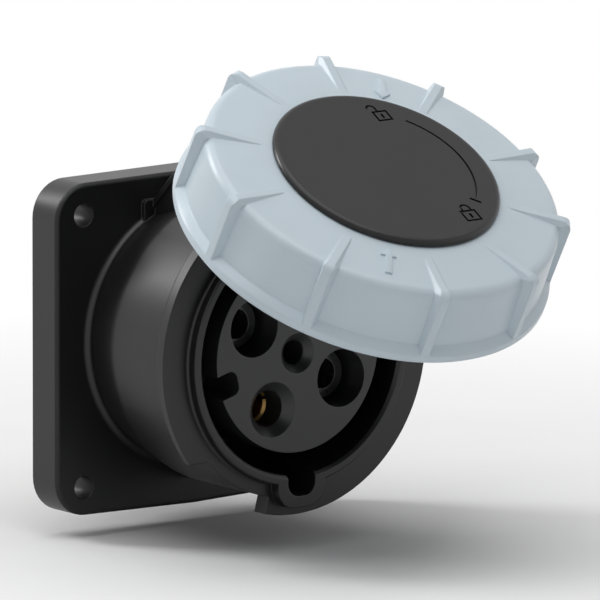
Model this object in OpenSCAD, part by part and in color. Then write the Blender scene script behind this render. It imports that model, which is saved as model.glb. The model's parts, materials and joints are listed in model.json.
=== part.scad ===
// Industrial panel socket, 63 A, four poles and pilot contact, straight, with a bayonet lid.
// Frame: +Z up, the plug leaves along -Y, +X to the right seen from the front.
// The origin is the centre of the four fixing holes, on the back of the flange.
// Clock angles run clockwise from 12 as seen from the front.

/* [Flange] */
// Width of the flange
flange_w = 102; // [98:0.5:130]
// Height of the flange at its middle
flange_h = 101; // [98:0.5:130]
// Thickness of the flange
flange_t = 12; // [10:0.5:20]
// Radius of the flange's corners
flange_corner_r = 11; // [4:0.5:16]
// Rounding of the flange's front edge
flange_edge_r = 1.2; // [0.4:0.1:3]
// How far the middle of the bottom edge hangs below its ends
flange_drop = 0.9; // [0.2:0.1:2]
// Distance between the fixing holes, across and up
hole_pitch = 82; // [78:0.5:100]
// Diameter of a fixing hole
hole_d = 7; // [4:0.1:8]

/* [Barrel] */
// Height of the socket's axis above the middle of the fixing holes
axis_z = 2.4; // [0:0.1:3]
// Radius of the barrel where it leaves the flange
neck_r = 39.5; // [38.5:0.1:41]
// Radius of the barrel behind the bayonet ridges
barrel_r = 43.5; // [42.5:0.1:45]
// Distance from the panel to the front of the bayonet ridges
barrel_len = 61.5; // [58:0.5:75]
// Length of the flare between the neck and the barrel
flare_len = 19; // [10:0.5:24]
// Rounding where the barrel meets the flange
root_r = 2; // [0.5:0.1:2.5]
// Radius of the bore that takes the plug's shroud
shroud_bore_r = 36.4; // [36:0.1:37]
// Depth of the space for the plug's shroud
shroud_depth = 49; // [40:0.5:52]
// Height of the sealing lip in front of the ridges
lip_h = 3.5; // [2:0.1:5]
// Wall of the sealing lip
lip_wall = 3; // [2:0.1:3.6]
// Chamfer at the mouth of the lip
lip_chamfer = 0.9; // [0.2:0.1:1.2]

/* [Keyway] */
// Width of the keyway at 6 o'clock
keyway_w = 10.1; // [8:0.1:12]
// Distance from the axis to the bottom of the keyway
keyway_reach = 42.6; // [41:0.1:43.4]
// Wall round the keyway in front of the ridges
keyway_wall = 3.5; // [2:0.1:3.6]
// Wall round the keyway's tunnel behind the ridges
tunnel_wall = 2.3; // [1.6:0.1:2.6]

/* [Bayonet ridges] */
// Outer radius of the ridges
ridge_r = 48.7; // [46.5:0.1:49]
// Thickness of a ridge where a lug enters
ridge_thin = 2.2; // [1.5:0.1:3]
// Thickness of a ridge at its far end
ridge_thick = 5.4; // [4:0.1:7]
// Clock angle at which the right-hand ridge ends
ridge_end = 193; // [190:0.5:196]
// Height above the axis at which the right-hand ridge starts
ridge_start = 29.5; // [28:0.1:30.5]

/* [Contact insert] */
// Radius of the insert's front
insert_r = 29.8; // [29:0.1:30.5]
// Distance from the panel to the joint between the insert's base and front
insert_joint = 46; // [40:0.5:46.5]
// How far the insert's face lies behind the lip
insert_back = 2.1; // [0.5:0.1:4]
// Radius of the circle through the contacts
pitch_r = 18.5; // [18:0.1:19]
// Diameter of the wells round the phase contacts
well_d = 17.4; // [16.5:0.1:18]
// Depth of a well
well_depth = 13; // [9:0.5:15]
// How far a guide sleeve lies behind the insert's face
nose_back = 9; // [5:0.5:12]
// Diameter of a guide sleeve
nose_d = 14.4; // [13.5:0.1:15]
// Clock angle of the earth contact
earth_clock = 210; // [210:30:210]
// Clock angle of the notch in the insert's side
notch_clock = 255; // [250:1:260]
// Width of the notch
notch_w = 7.4; // [5:0.1:8]
// Distance from the axis to the bottom of the notch
notch_reach = 22.8; // [22:0.1:25]

/* [Contacts] */
// Diameter of a phase pin
phase_pin_d = 8; // [8:0.1:8.4]
// Diameter of the earth pin
earth_pin_d = 10; // [10:0.1:10.4]
// Diameter of the pilot pin
pilot_pin_d = 6; // [6:0.1:6.4]
// Wall of a contact sleeve
sleeve_wall = 1.7; // [1.2:0.1:1.8]
// Diameter of a terminal block
terminal_d = 15; // [13:0.5:15.5]
// Diameter of a contact's collar
collar_d = 17; // [16:0.1:18]
// Length of the terminals behind the insert
terminal_len = 21; // [18:0.5:30]

/* [Lid] */
// Angle that the lid stands open
lid_open = 60; // [0:1:110]
// Distance from the panel to the hinge pin
hinge_out = 37.5; // [36:0.1:39]
// Height of the hinge pin above the socket's axis
hinge_up = 58.2; // [57.5:0.1:60]
// Diameter of the hinge pin
pin_d = 4; // [3:0.1:5]
// Radius of the hinge eyes
eye_r = 4.2; // [4:0.1:5.5]
// Slope of the hinge ears' upper edge
ear_slope = 44; // [38:0.5:48]
// Distance between the outer faces of the two hinge ears
ears_w = 32.8; // [28:0.1:36]
// Thickness of a hinge ear
ear_t = 5.2; // [4:0.1:6]
// Distance from the panel to the closed ring's rear face
ring_back = 48; // [47.5:0.1:49]
// Radius of the black disc
disc_r = 35.1; // [33:0.1:37]
// Thickness of the disc
disc_t = 1.8; // [1.7:0.1:3]

/* [Bayonet ring] */
// Radius of the ring's rear rim
rim_r = 58; // [57:0.1:60]
// Height of the rim
rim_h = 3.4; // [2.5:0.1:6]
// Height of the ring
ring_h = 25.4; // [24.5:0.1:28]
// How far the ring's front falls from the disc to its edge
front_fall = 1.4; // [0.2:0.1:2]
// Radius of the ring's inside
ring_bore_r = 51.6; // [51.3:0.1:52]
// Radius of the side panels at their foot
panel_r = 55.6; // [54.5:0.1:56.4]
// Rounding between the sides and the front
ring_edge_r = 3; // [1:0.1:4]
// Width of a grip rib at its foot
rib_w = 4.8; // [3.5:0.1:6]
// How far a rib stands above the edge of the ring's front
rib_rise = 1.3; // [0.8:0.1:2.2]
// Angle of a bayonet lug
lug_angle = 31; // [24:0.5:31]
// Distance from the axis to the lugs
lug_reach = 46; // [45.6:0.1:47]
// Thickness of a lug
lug_t = 5; // [3:0.1:5.5]

/* [Fits] */
// Clearance between pieces that are put together
fit_gap = 0.2; // [0.1:0.05:0.3]
// Clearance of pieces that turn or swing past each other
run_gap = 0.4; // [0.3:0.05:0.5]
// Radial clearance of the hinge pin in the lid
pin_gap = 0.06; // [0.02:0.01:0.1]
// Radial clearance of screws and pins in the holes that hold them
held_gap = 0.03; // [0.01:0.01:0.05]

/* [Hidden] */
$fn = 96;
eps = 0.01;
black = [0.13, 0.13, 0.14];
pale = [0.72, 0.77, 0.80];
brass = [0.78, 0.62, 0.30];
steel = [0.72, 0.73, 0.75];
dark_rubber = [0.08, 0.08, 0.08];

// Depths in front of the panel
lip_front = barrel_len + lip_h;
insert_front = lip_front - insert_back;
shroud_floor = lip_front - shroud_depth;

// Seat of the insert in the back of the flange
seat_depth = 4;
seat_r = shroud_bore_r + 6;
insert_seal_t = 1;
plate_depth = 2;
insert_rear = seat_depth - insert_seal_t - plate_depth;
insert_screw_r = (shroud_bore_r + seat_r) / 2;
insert_screw_clocks = [45, 135, 225, 315];
insert_screw_d = 3;
insert_screw_bite = flange_t - seat_depth - 1.2;

// Ring groove for the panel gasket
gasket_in = seat_r + axis_z + 1.8;
gasket_w = 2.4;
gasket_depth = 2.5;

// Clock angles and pins of the contacts: L1, L2, L3, earth
phase_clocks = [earth_clock + 90, earth_clock - 180, earth_clock - 90];
chamber_gap = 0.9;
spring_t = 0.7;
spring_w = 4;
collar_t = 3;
carrier_r = shroud_bore_r - 4;
carrier_clocks = [earth_clock - 45, earth_clock + 135];
carrier_screw_r = 24;
carrier_screw_bite = 8;
carrier_screw_d = 4;
mouth_gap = 0.3;
phase_mouth = insert_joint - mouth_gap;
earth_mouth = insert_joint + 6;
pilot_mouth = insert_joint - mouth_gap;
terminal_screw_d = 6;
pilot_screw_d = 3.5;
terminal_screw_back = terminal_len / 2 + 2;

// Lid stack, measured from the ring's rear face along the lid's axis
lip_level = lip_front - ring_back;
plate_low = lip_level + 1.3;
plate_t = 3.5;
plate_top = plate_low + plate_t;
washer_t = 0.5;
rib_clocks = [14, 50.7, 88.5, 122.8, 159];
wall_low = plate_top + washer_t + 0.1;
hub_r = disc_r - 4.2;
plate_r = lug_reach - run_gap;
web_r = ring_bore_r - 0.7;
disc_low = ring_h + run_gap;
web_t = 1.6;
web_half_angle = 9.5;
lid_screw_r = 22;
lid_screw_d = 4;
seal_w = 5;
seal_sunk = 1.6;
seal_mid = shroud_bore_r + lip_wall / 2;
seal_h = plate_low + seal_sunk - (lip_level + 0.3);
arm_w = ears_w - 2 * ear_t - 2 * run_gap;
knuckle_low = hinge_out - ring_back;
gap_clock = (ridge_end - 180 + acos(ridge_start / lug_reach)) / 2;
lug_front = barrel_len - ring_back - (ridge_thin + (ridge_thick - ridge_thin) * 0.9) - run_gap;

// Turns a clock angle into the angle used by rotate_extrude
function polar(clock) = 90 - clock;

// A point on a circle about the axis, at a clock angle
function on_clock(r, clock) = [r * sin(clock), r * cos(clock)];

// Points of an arc about a centre
function arc(cx, cy, r, from, to, steps = 8) =
    [for (i = [0:steps]) [cx + r * cos(from + (to - from) * i / steps), cy + r * sin(from + (to - from) * i / steps)]];

// Puts a shape drawn with its Z axis towards the plug onto the socket's axis
module on_axis() {
    translate([0, 0, axis_z]) rotate([90, 0, 0]) children();
}

// Puts a lid piece, drawn from the ring's rear face, at its open place
module on_lid() {
    translate([0, -hinge_out, axis_z + hinge_up]) rotate([-lid_open, 0, 0])
        translate([0, hinge_out, -axis_z - hinge_up])
            on_axis() translate([0, 0, ring_back]) children();
}

// Sets its children out round the axis at a clock angle
module at_clock(r, clock) {
    p = on_clock(r, clock);
    translate([p[0], p[1], 0]) children();
}

// A cylinder from one depth to another
module rod(d, from, to) {
    translate([0, 0, from]) cylinder(d = d, h = to - from);
}

// Outline of the flange, inset by a distance
module flange_outline(inset) {
    r = flange_corner_r - inset;
    half_w = flange_w / 2 - flange_corner_r;
    top = flange_h / 2 - flange_corner_r;
    bottom = -flange_h / 2 + flange_drop + flange_corner_r;
    slope = atan2(flange_drop, flange_w / 2);
    polygon(concat(
        arc(half_w, top, r, 0, 90, 10),
        arc(-half_w, top, r, 90, 180, 10),
        arc(-half_w, bottom, r, 180, 270 - slope, 10),
        [[0, -flange_h / 2 + inset]],
        arc(half_w, bottom, r, 270 + slope, 360, 10)));
}

// Flange plate with its front edge rounded in steps
module flange_plate() {
    steps = 5;
    rotate([90, 0, 0]) {
        linear_extrude(flange_t - flange_edge_r) flange_outline(0);
        for (i = [1:steps]) {
            a = 90 * i / steps;
            b = 90 * (i - 1) / steps;
            translate([0, 0, flange_t - flange_edge_r - eps])
                linear_extrude(flange_edge_r * sin(a) + eps)
                    flange_outline(flange_edge_r * (1 - cos((a + b) / 2)));
        }
    }
}

// Profile of the barrel from the flange to the sealing lip, without its bore
module barrel_profile() {
    flare_end = flange_t + flare_len;
    lip_r = shroud_bore_r + lip_wall;
    polygon(concat(
        [[shroud_bore_r - 1, eps], [neck_r + root_r + 1, eps], [neck_r + root_r + 1, flange_t - eps]],
        arc(neck_r + root_r, flange_t + root_r, root_r, 270, 180, 6),
        [[barrel_r, flare_end], [barrel_r, barrel_len]],
        arc(lip_r + 0.8, barrel_len + 0.8, 0.8, 270, 180, 5),
        [[lip_r, lip_front - 0.3], [lip_r - 0.3, lip_front], [shroud_bore_r - 1, lip_front]]));
}

// The right-hand bayonet ridge: thin at its level start and thick at its end, with a tilted plane as its rear
module ridge() {
    start = acos(ridge_start / ridge_r);
    sweep = ridge_end - start;
    middle = start + sweep / 2;
    mean = (ridge_thin + ridge_thick) / 2;
    tilt = atan((ridge_thick - ridge_thin) / (2 * ridge_r * sin(sweep / 2)));
    difference() {
        translate([0, 0, barrel_len - ridge_thick - 2])
            rotate([0, 0, polar(ridge_end)])
                rotate_extrude(angle = sweep + 12)
                    translate([barrel_r - 2, 0]) square([ridge_r - barrel_r + 2, ridge_thick + 2]);
        translate([0, ridge_start, 0]) cube([80, 80, 80]);
        rotate([0, 0, -middle]) translate([0, 0, barrel_len - mean]) rotate([0, tilt, 0])
            translate([-80, -80, -20]) cube([160, 160, 20]);
    }
}

// Slot with a round bottom, reaching down from the bore at 6 o'clock
module keyway(width, reach, from, to, bottom_r) {
    translate([0, 0, from]) linear_extrude(to - from)
        polygon(concat(
            [[width / 2, -shroud_bore_r + 6]],
            [[-width / 2, -shroud_bore_r + 6]],
            arc(-width / 2 + bottom_r, -reach + bottom_r, bottom_r, 180, 270, 6),
            arc(width / 2 - bottom_r, -reach + bottom_r, bottom_r, 270, 360, 6)));
}

// Hinge bracket: a pad on the flange and two ears that carry the pin
module hinge_bracket() {
    pad_w = ears_w + 6.4;
    pad_up = neck_r + 1.4;
    pad_t = 1.5;
    difference() {
        union() {
            on_axis() translate([0, 0, flange_t - 1]) linear_extrude(pad_t + 1)
                polygon(concat(
                    [[-pad_w / 2, 20], [pad_w / 2, 20]],
                    arc(pad_w / 2 - 1.5, pad_up - 1.5, 1.5, 0, 90, 4),
                    arc(-pad_w / 2 + 1.5, pad_up - 1.5, 1.5, 90, 180, 4)));
            translate([ears_w / 2 - ear_t, 0, 0]) ear();
            mirror([1, 0, 0]) translate([ears_w / 2 - ear_t, 0, 0]) ear();
        }
        on_axis() rod(2 * (neck_r - 2), 0, lip_front);
        translate([-ears_w, -hinge_out, axis_z + hinge_up]) rotate([0, 90, 0]) cylinder(d = pin_d + 2 * held_gap, h = 2 * ears_w);
    }
}

// Outline of an ear, in height over distance behind the front, inset by a distance
module ear_outline(inset, foot) {
    rear = flange_t - 1 + inset;
    slope_from = hinge_up + (eye_r - inset) / cos(ear_slope) - (hinge_out - rear) * tan(ear_slope);
    polygon(concat(
        [[-rear, foot], [-rear, slope_from]],
        arc(-hinge_out, hinge_up, eye_r - inset, 90 - ear_slope, 270, 14),
        [[-hinge_out + 1, foot]]));
}

// One ear: a plate that rises forwards from the flange to the pin, with a shallow pocket on its outer side
module ear() {
    pocket = 0.7;
    rim = 1.7;
    translate([0, 0, axis_z]) rotate([90, 0, 90]) difference() {
        linear_extrude(ear_t) ear_outline(0, barrel_r - 10);
        translate([0, 0, ear_t - pocket]) linear_extrude(pocket + 1) intersection() {
            ear_outline(rim, barrel_r - 10);
            translate([-hinge_out + eye_r + 2.5, 0]) square([hinge_out, 80]);
        }
    }
}

// Black housing: flange, barrel, bayonet ridges, sealing lip and hinge bracket in one moulding
module housing() {
    color(black) difference() {
        union() {
            flange_plate();
            on_axis() rotate_extrude() barrel_profile();
            on_axis() for (turn = [0, 180]) rotate([0, 0, turn]) ridge();
            on_axis() keyway(keyway_w + 2 * keyway_wall, keyway_reach + keyway_wall,
                barrel_len - ridge_thin, lip_front, 6);
            on_axis() keyway(keyway_w + 2 * tunnel_wall - 0.6, keyway_reach + tunnel_wall, flange_t - eps, barrel_len, 5.6);
            hinge_bracket();
        }
        on_axis() rod(2 * shroud_bore_r, -1, lip_front + 1);
        on_axis() translate([0, 0, lip_front - lip_chamfer])
            cylinder(r1 = shroud_bore_r, r2 = shroud_bore_r + lip_chamfer + eps, h = lip_chamfer + eps);
        on_axis() rod(2 * seat_r, -1, seat_depth);
        on_axis() keyway(keyway_w, keyway_reach, shroud_floor, lip_front + 1, 4);
        for (x = [-1, 1], z = [-1, 1])
            translate([x * hole_pitch / 2, 1, z * hole_pitch / 2]) rotate([90, 0, 0]) cylinder(d = hole_d, h = flange_t + 2);
        on_axis() for (clock = insert_screw_clocks) at_clock(insert_screw_r, clock)
            rod(insert_screw_d + 2 * held_gap, 0, seat_depth + insert_screw_bite);
        rotate([90, 0, 0]) translate([0, 0, -1]) difference() {
            cylinder(r = gasket_in + gasket_w, h = gasket_depth + 1);
            translate([0, 0, -1]) cylinder(r = gasket_in, h = gasket_depth + 3);
        }
    }
}

// Gasket ring in the back of the flange, drawn as thick as it is against a panel
module panel_gasket() {
    color(dark_rubber) rotate([90, 0, 0]) difference() {
        cylinder(r = gasket_in + gasket_w, h = gasket_depth);
        translate([0, 0, -1]) cylinder(r = gasket_in, h = gasket_depth + 2);
    }
}

// Diameter of the space that a contact's sleeve and its spring take in the insert
function chamber_d(pin) = pin + 2 * sleeve_wall + 2 * chamber_gap;

// Holes for the contacts' sleeves, from one depth to another
module chambers(from, to) {
    for (clock = phase_clocks) at_clock(pitch_r, clock) rod(chamber_d(phase_pin_d), from, to);
    at_clock(pitch_r, earth_clock) rod(chamber_d(earth_pin_d), from, to);
    rod(chamber_d(pilot_pin_d), from, to);
}

// Plate screwed into the flange's back; it carries the insert and stops the contacts' collars
module retaining_plate() {
    color(black) on_axis() difference() {
        rod(2 * (seat_r - fit_gap), insert_rear, insert_rear + plate_depth);
        chambers(insert_rear - 1, insert_rear + plate_depth + 1);
        for (clock = insert_screw_clocks) at_clock(insert_screw_r, clock)
            rod(insert_screw_d + 2 * fit_gap, insert_rear - 1, seat_depth + 1);
        for (clock = carrier_clocks) at_clock(carrier_screw_r, clock)
            rod(carrier_screw_d + 2 * fit_gap, insert_rear - 1, seat_depth + 1);
    }
}

// Ring that closes the space for the plug's shroud at its bottom
module base_ring() {
    color(black) on_axis() difference() {
        rod(2 * (shroud_bore_r - fit_gap), insert_rear + plate_depth, shroud_floor);
        rod(2 * (insert_r + fit_gap), insert_rear, shroud_floor + 1);
    }
}

// Base of the insert, with a chamber for each contact
module insert_base() {
    rear = insert_rear + plate_depth;
    color(black) on_axis() difference() {
        rod(2 * insert_r, rear, insert_joint);
        chambers(rear - 1, insert_joint + 1);
        for (clock = carrier_clocks) at_clock(carrier_screw_r, clock)
            rod(carrier_screw_d + 2 * held_gap, rear - 1, rear + carrier_screw_bite + 1);
    }
}

// Front of the insert: wells for the phase pins and conical mouths for the earth pin and the pilot pin
module contact_insert() {
    color(black) on_axis() difference() {
        rod(2 * insert_r, insert_joint, insert_front);
        for (clock = phase_clocks) at_clock(pitch_r, clock) {
            rod(well_d, insert_front - well_depth, insert_front + 1);
            rod(pin_hole(phase_pin_d), insert_joint - 1, insert_front);
        }
        at_clock(pitch_r, earth_clock) {
            funnel(16.7, pin_hole(earth_pin_d));
            rod(pin_hole(earth_pin_d), earth_mouth, insert_front);
            rod(chamber_d(earth_pin_d), insert_joint - 1, earth_mouth + mouth_gap);
        }
        funnel(12.1, pilot_pin_d + 1.5);
        rod(pilot_pin_d + 1.5, insert_joint - 1, insert_front);
        rotate([0, 0, 180 - notch_clock]) translate([0, 0, insert_joint - 1]) linear_extrude(insert_front)
            polygon(concat(
                [[notch_w / 2, -insert_r - 3], [notch_w / 2, -notch_reach - 2.5]],
                arc(notch_w / 2 - 2.5, -notch_reach - 2.5, 2.5, 0, 90, 6),
                arc(-notch_w / 2 + 2.5, -notch_reach - 2.5, 2.5, 90, 180, 6),
                [[-notch_w / 2, -insert_r - 3]]));
    }
}

// Sleeves that stand in the three wells and guide the phase pins
module guide_sleeves() {
    color(black) on_axis() for (clock = phase_clocks) at_clock(pitch_r, clock) difference() {
        rod(nose_d, insert_front - well_depth, insert_front - nose_back);
        rod(pin_hole(phase_pin_d), insert_front - well_depth - 1, insert_front);
    }
}

// Diameter of the hole that guides a pin
function pin_hole(pin) = pin + 1;

// Conical mouth of a contact hole in the insert's face
module funnel(mouth_d, hole) {
    depth = (mouth_d - hole) / 2;
    translate([0, 0, insert_front - depth]) cylinder(d1 = hole, d2 = mouth_d + 2 * eps, h = depth + eps);
}

// Pan-head screw along +Z, its head below the seat
module screw(d, seat, length, head_d, head_h) {
    difference() {
        union() {
            rod(d, seat - eps, seat + length);
            rod(head_d, seat - head_h, seat);
        }
        translate([-head_d / 2, -0.5, seat - head_h - 1]) cube([head_d, 1, 1 + head_h * 0.45]);
    }
}

// Four screws that hold the retaining plate on the housing
module insert_screws() {
    color(steel) on_axis() for (clock = insert_screw_clocks) at_clock(insert_screw_r, clock)
        screw(insert_screw_d, insert_rear, seat_depth - insert_rear + insert_screw_bite - 0.5, 5.4, 2);
}

// Flat seal between the retaining plate and the housing
module insert_seal() {
    color(dark_rubber) on_axis() difference() {
        rod(2 * (seat_r - fit_gap), seat_depth - insert_seal_t, seat_depth);
        rod(2 * shroud_bore_r, 0, seat_depth + 1);
        for (clock = insert_screw_clocks) at_clock(insert_screw_r, clock)
            rod(insert_screw_d + 2 * fit_gap, 0, seat_depth + 1);
    }
}

// Turned brass contact: slotted sleeve, collar and terminal block with its wire bore
module contact(pin, mouth, clock, wire_d) {
    sleeve = pin + 2 * sleeve_wall;
    rear = insert_rear - terminal_len;
    difference() {
        union() {
            rod(sleeve, insert_rear - 1, mouth);
            rod(collar_d, insert_rear - collar_t, insert_rear);
            rod(terminal_d, rear, insert_rear);
        }
        rod(pin, mouth - 40, mouth + 1);
        translate([0, 0, mouth - 0.8]) cylinder(d1 = pin, d2 = pin + 1.6, h = 0.81);
        for (turn = [0, 90]) rotate([0, 0, turn - clock + 45])
            translate([-sleeve, -0.5, mouth - 24]) cube([2 * sleeve, 1, 25]);
        rod(wire_d, rear - 1, insert_rear - 5);
        rotate([0, 0, -clock]) translate([0, 0, insert_rear - terminal_screw_back]) rotate([-90, 0, 0])
            cylinder(d = terminal_screw_d + 2 * held_gap, h = terminal_d);
    }
}

module contact_l1() {
    color(brass) on_axis() at_clock(pitch_r, phase_clocks[0]) contact(phase_pin_d, phase_mouth, phase_clocks[0], 9);
}

module contact_l2() {
    color(brass) on_axis() at_clock(pitch_r, phase_clocks[1]) contact(phase_pin_d, phase_mouth, phase_clocks[1], 9);
}

module contact_l3() {
    color(brass) on_axis() at_clock(pitch_r, phase_clocks[2]) contact(phase_pin_d, phase_mouth, phase_clocks[2], 9);
}

module contact_earth() {
    color(brass) on_axis() at_clock(pitch_r, earth_clock) contact(earth_pin_d, earth_mouth, earth_clock, 9);
}

// The pilot contact is thinner, with a wire bore for a signal wire
module contact_pilot() {
    color(brass) on_axis() difference() {
        union() {
            rod(pilot_pin_d + 2 * sleeve_wall, insert_rear - 1, pilot_mouth);
            rod(collar_d, insert_rear - collar_t, insert_rear);
            rod(12, insert_rear - terminal_len, insert_rear);
        }
        rod(pilot_pin_d, pilot_mouth - 32, pilot_mouth + 1);
        translate([0, 0, pilot_mouth - 0.8]) cylinder(d1 = pilot_pin_d, d2 = pilot_pin_d + 1.6, h = 0.81);
        for (turn = [0, 90]) rotate([0, 0, turn])
            translate([-10, -0.4, pilot_mouth - 20]) cube([20, 0.8, 21]);
        rod(4.5, insert_rear - terminal_len - 1, insert_rear - 8);
        translate([0, 0, insert_rear - terminal_len + 5]) rotate([0, 90, 0])
            cylinder(d = pilot_screw_d + 2 * held_gap, h = 20);
    }
}

// Steel rings that press the sleeves' fingers onto the pins
module contact_springs() {
    color(steel) on_axis() {
        for (clock = phase_clocks) at_clock(pitch_r, clock) spring_ring(phase_pin_d, phase_mouth);
        at_clock(pitch_r, earth_clock) spring_ring(earth_pin_d, earth_mouth);
        spring_ring(pilot_pin_d, pilot_mouth);
    }
}

module spring_ring(pin, mouth) {
    inner = pin + 2 * sleeve_wall;
    difference() {
        rod(inner + 2 * spring_t, mouth - 2 - spring_w, mouth - 2);
        rod(inner + 2 * held_gap, mouth - 3 - spring_w, mouth - 1);
        translate([0, -0.5, mouth - 3 - spring_w]) cube([inner, 1, spring_w + 2]);
    }
}

// Black carrier behind the insert: a chamber for each terminal, open to the rear, and holes to reach the screws
module terminal_carrier() {
    rear = insert_rear - terminal_len - 2;
    color(black) on_axis() difference() {
        rod(2 * carrier_r, rear, insert_rear);
        for (clock = concat(phase_clocks, [earth_clock])) {
            at_clock(pitch_r, clock) rod(terminal_d + 2 * fit_gap, rear - 1, insert_rear + 1);
            at_clock(pitch_r, clock) rod(collar_d + 2 * fit_gap, insert_rear - collar_t - fit_gap, insert_rear + 1);
            translate([0, 0, insert_rear - terminal_screw_back]) rotate([0, 0, -clock]) rotate([-90, 0, 0])
                translate([0, 0, pitch_r]) cylinder(d = terminal_screw_d + 3, h = carrier_r);
        }
        rod(12 + 2 * fit_gap, rear - 1, insert_rear + 1);
        rod(collar_d + 2 * fit_gap, insert_rear - collar_t - fit_gap, insert_rear + 1);
        translate([0, 0, insert_rear - terminal_len + 5]) rotate([0, 90, 0]) cylinder(d = 5, h = carrier_r + 1);
        for (clock = carrier_clocks) at_clock(carrier_screw_r, clock) {
            rod(carrier_screw_d + 2 * fit_gap, rear - 1, insert_rear + 1);
            rod(8, rear - 1, rear + 12);
        }
    }
}

// Two long screws that hold the carrier, the plate and the insert's base together
module carrier_screws() {
    seat = insert_rear - terminal_len + 10;
    color(steel) on_axis() for (clock = carrier_clocks) at_clock(carrier_screw_r, clock)
        screw(carrier_screw_d, seat, insert_rear + plate_depth - seat + carrier_screw_bite, 7.2, 2.8);
}

// Clamping screws of the terminals, one on each contact
module terminal_screws() {
    color(steel) on_axis() {
        for (clock = concat(phase_clocks, [earth_clock]))
            translate([0, 0, insert_rear - terminal_screw_back]) rotate([0, 0, -clock]) rotate([-90, 0, 0])
                translate([0, 0, pitch_r + 3.5]) grub_screw(terminal_screw_d, 11, 3);
        translate([0, 0, insert_rear - terminal_len + 5]) rotate([0, 90, 0])
            translate([0, 0, 2.3]) grub_screw(pilot_screw_d, 6, 1.6);
    }
}

// Screw without a head, with a hexagon socket in its outer end
module grub_screw(d, length, key) {
    difference() {
        cylinder(d = d, h = length);
        translate([0, 0, length - key]) cylinder(d = key * 1.15, h = key + 1, $fn = 6);
    }
}

// Stainless pin through the ears and the lid's arm
module hinge_pin() {
    color(steel) translate([-ears_w / 2 - 0.8, -hinge_out, axis_z + hinge_up]) rotate([0, 90, 0]) {
        cylinder(d = pin_d, h = ears_w + 1.6);
        translate([0, 0, -1]) cylinder(d = pin_d + 1.6, h = 1);
        translate([0, 0, ears_w + 1.6]) cylinder(d = pin_d + 1.6, h = 1);
    }
}

// Arm from the lid's inner plate, past the ring's rear face, to the hinge pin
module hinge_arm() {
    web_in = web_r - web_t;
    half_w = web_in * sin(web_half_angle);
    intersection() {
        translate([0, 0, -3.2]) difference() {
            rod(2 * web_r, 0, plate_top + 3.2);
            rod(2 * web_in, -1, plate_top + 4);
        }
        translate([-half_w, 0, -4]) cube([2 * half_w, 60, plate_top + 4]);
    }
    intersection() {
        rod(2 * web_r, plate_low, plate_top);
        translate([-half_w, 0, 0]) cube([2 * half_w, 60, plate_top]);
    }
    translate([-arm_w / 2, 0, 0]) rotate([90, 0, 90]) linear_extrude(arm_w)
        polygon(concat(
            [[web_in, -3.4], [web_in, -0.9], [web_r + 1.6, -0.9]],
            arc(hinge_up, knuckle_low, eye_r, 65, -150, 14)));
}

// Inner plate of the lid: disc, hub that the ring turns on, seal groove and hinge arm
module lid_plate() {
    color(black) on_lid() difference() {
        union() {
            rod(2 * plate_r, plate_low, plate_top);
            rod(2 * hub_r, plate_low, disc_low);
            translate([0, 0, plate_low]) linear_extrude(plate_t) tongue_outline(2.2);
            hinge_arm();
        }
        rod(2 * (hub_r - 4), plate_low + plate_t, disc_low + 1);
        translate([0, 0, plate_low - 1]) linear_extrude(1 + seal_sunk) seal_outline(0.05);
        for (turn = [0:3]) at_clock(lid_screw_r, 45 + 90 * turn) {
            rod(lid_screw_d + 2 * fit_gap, plate_low - 1, plate_top + 1);
        }
        translate([-ears_w, hinge_up, knuckle_low]) rotate([0, 90, 0])
            cylinder(d = pin_d + 2 * pin_gap, h = 2 * ears_w);
    }
}

// Outline of the tongue that covers the keyway, widened by a distance
module tongue_outline(extra) {
    half_w = keyway_w / 2 + keyway_wall + extra;
    reach = keyway_reach + keyway_wall - 0.6 + extra;
    polygon(concat(
        [[half_w, -shroud_bore_r - 1], [-half_w, -shroud_bore_r - 1]],
        arc(-half_w + 5, -reach + 5, 5, 180, 270, 6),
        arc(half_w - 5, -reach + 5, 5, 270, 360, 6)));
}

// Outline of the seal: a ring with the tongue, widened by a distance
module seal_outline(extra) {
    difference() {
        union() {
            circle(r = seal_mid + seal_w / 2 + extra);
            tongue_outline(extra);
        }
        circle(r = seal_mid - seal_w / 2 - extra);
    }
}

// Flat rubber seal that closes on the housing's lip and over the keyway
module lid_seal() {
    color(dark_rubber) on_lid() translate([0, 0, plate_low + seal_sunk - seal_h])
        linear_extrude(seal_h) seal_outline(0);
}

// Black disc on the front of the lid, with bosses for the screws
module lid_cap() {
    edge = 1.6;
    color(black) on_lid() difference() {
        union() {
            rotate_extrude() polygon(concat(
                [[0, disc_low], [disc_r - 0.1, disc_low], [disc_r, disc_low + 0.1]],
                arc(disc_r - edge, disc_low + disc_t - edge, edge, 0, 90, 6),
                [[0, disc_low + disc_t]]));
            for (turn = [0:3]) at_clock(lid_screw_r, 45 + 90 * turn) rod(9, plate_top, disc_low + 1);
        }
        for (turn = [0:3]) at_clock(lid_screw_r, 45 + 90 * turn) 
            rod(lid_screw_d + 2 * held_gap, plate_top - 1, disc_low + 0.8);
    }
}

// Four screws that pull the disc and the plate together
module lid_screws() {
    color(steel) on_lid() for (turn = [0:3]) at_clock(lid_screw_r, 45 + 90 * turn)
        screw(lid_screw_d, plate_low, disc_low - plate_low + 0.5, 7, 2.2);
}

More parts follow.
